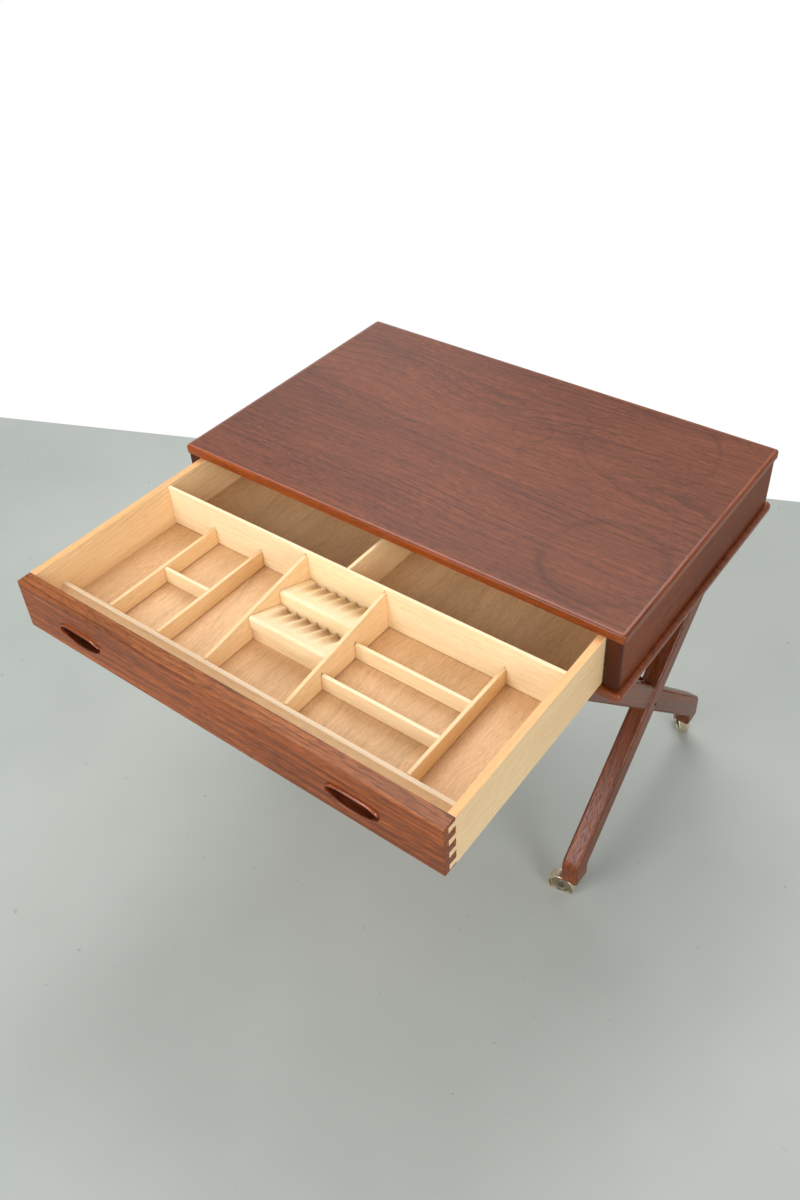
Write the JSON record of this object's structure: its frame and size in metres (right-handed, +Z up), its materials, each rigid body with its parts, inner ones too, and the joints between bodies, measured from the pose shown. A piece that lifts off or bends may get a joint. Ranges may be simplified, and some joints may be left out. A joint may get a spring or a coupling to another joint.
{
  "type": "sewing table",
  "caption": "Low teak sewing table on crossed legs with castors; its wide drawer is divided into compartments with spool rests and a needle trough.",
  "frame": {"origin": "on the floor, below the middle of the whole table with its drawer standing open", "axes": "+X to the right as seen from the drawer's side, +Y from the drawer towards the back, +Z up"},
  "size_m": [0.708, 0.7692, 0.59],
  "materials": {
    "teak_top": "satin oiled teak veneer",
    "teak_lip": "satin oiled solid teak",
    "teak_case": "satin oiled teak",
    "teak_front": "satin oiled teak",
    "teak_leg": "satin oiled solid teak",
    "pull_wood": "glossy dark hardwood",
    "beech": "matt lacquered beech",
    "plywood": "matt lacquered plywood",
    "castor_shell": "bright pale brass plate",
    "castor_wheel": "dark matt plastic",
    "castor_steel": "plain steel"
  },
  "bodies": {
    "case": {"top_panel": "teak_top", "top_lip_front": "teak_lip", "top_lip_back": "teak_lip", "top_lip_left": "teak_lip", "top_lip_right": "teak_lip", "side_panel_left": "teak_case", "side_panel_right": "teak_case", "back_panel": "teak_case", "bottom_board": "teak_case", "leg_to_front_left": "teak_leg", "leg_to_rear_left": "teak_leg", "frame_rail_left": "teak_leg", "leg_to_front_right": "teak_leg", "leg_to_rear_right": "teak_leg", "frame_rail_right": "teak_leg", "stretcher": "teak_leg", "castor_plate_front_right": "castor_steel", "castor_plate_rear_right": "castor_steel", "castor_plate_front_left": "castor_steel", "castor_plate_rear_left": "castor_steel"},
    "drawer": {"drawer_front": "teak_front", "pull_left": "pull_wood", "pull_right": "pull_wood", "drawer_side_left": "beech", "drawer_side_right": "beech", "drawer_back": "beech", "drawer_floor": "plywood", "needle_trough": "beech", "cross_wall": "beech", "divider_first": "beech", "divider_second": "beech", "divider_third": "beech", "divider_fourth": "beech", "divider_sixth": "beech", "cross_divider_left": "beech", "cross_divider_right_rear": "beech", "cross_divider_right_front": "beech", "rear_divider": "beech", "spool_rest_front": "beech", "spool_rest_rear": "beech"},
    "castor_front_right": {"castor_hood_front_right": "castor_shell", "castor_axle_front_right": "castor_steel"},
    "wheel_front_right": {"castor_wheel_front_right": "castor_wheel"},
    "castor_rear_right": {"castor_hood_rear_right": "castor_shell", "castor_axle_rear_right": "castor_steel"},
    "wheel_rear_right": {"castor_wheel_rear_right": "castor_wheel"},
    "castor_front_left": {"castor_hood_front_left": "castor_shell", "castor_axle_front_left": "castor_steel"},
    "wheel_front_left": {"castor_wheel_front_left": "castor_wheel"},
    "castor_rear_left": {"castor_hood_rear_left": "castor_shell", "castor_axle_rear_left": "castor_steel"},
    "wheel_rear_left": {"castor_wheel_rear_left": "castor_wheel"}
  },
  "joints": [
    {"name": "drawer_slide", "type": "slide", "parent": "case", "child": "drawer", "axis": [0, -1, 0], "range_m": [-0.3177, 0.024]},
    {"name": "castor_swivel_front_right", "type": "hinge", "parent": "case", "child": "castor_front_right", "pos_m": [0.2975, -0.02995, 0.04], "axis": [0, 0, 1], "continuous": true},
    {"name": "wheel_spin_front_right", "type": "hinge", "parent": "castor_front_right", "child": "wheel_front_right", "pos_m": [0.28219, -0.03238, 0.0175], "axis": [-0.1564, 0.9877, 0], "continuous": true},
    {"name": "castor_swivel_rear_right", "type": "hinge", "parent": "case", "child": "castor_rear_right", "pos_m": [0.2975, 0.34605, 0.04], "axis": [0, 0, 1], "continuous": true},
    {"name": "wheel_spin_rear_right", "type": "hinge", "parent": "castor_rear_right", "child": "wheel_rear_right", "pos_m": [0.28796, 0.35826, 0.0175], "axis": [0.788, 0.6157, 0], "continuous": true},
    {"name": "castor_swivel_front_left", "type": "hinge", "parent": "case", "child": "castor_front_left", "pos_m": [-0.2975, -0.02995, 0.04], "axis": [0, 0, 1], "continuous": true},
    {"name": "wheel_spin_front_left", "type": "hinge", "parent": "castor_front_left", "child": "wheel_front_left", "pos_m": [-0.31166, -0.03625, 0.0175], "axis": [-0.4067, 0.9135, 0], "continuous": true},
    {"name": "castor_swivel_rear_left", "type": "hinge", "parent": "case", "child": "castor_rear_left", "pos_m": [-0.2975, 0.34605, 0.04], "axis": [0, 0, 1], "continuous": true},
    {"name": "wheel_spin_rear_left", "type": "hinge", "parent": "castor_rear_left", "child": "wheel_rear_left", "pos_m": [-0.30971, 0.35559, 0.0175], "axis": [0.6157, 0.788, 0], "continuous": true}
  ]
}
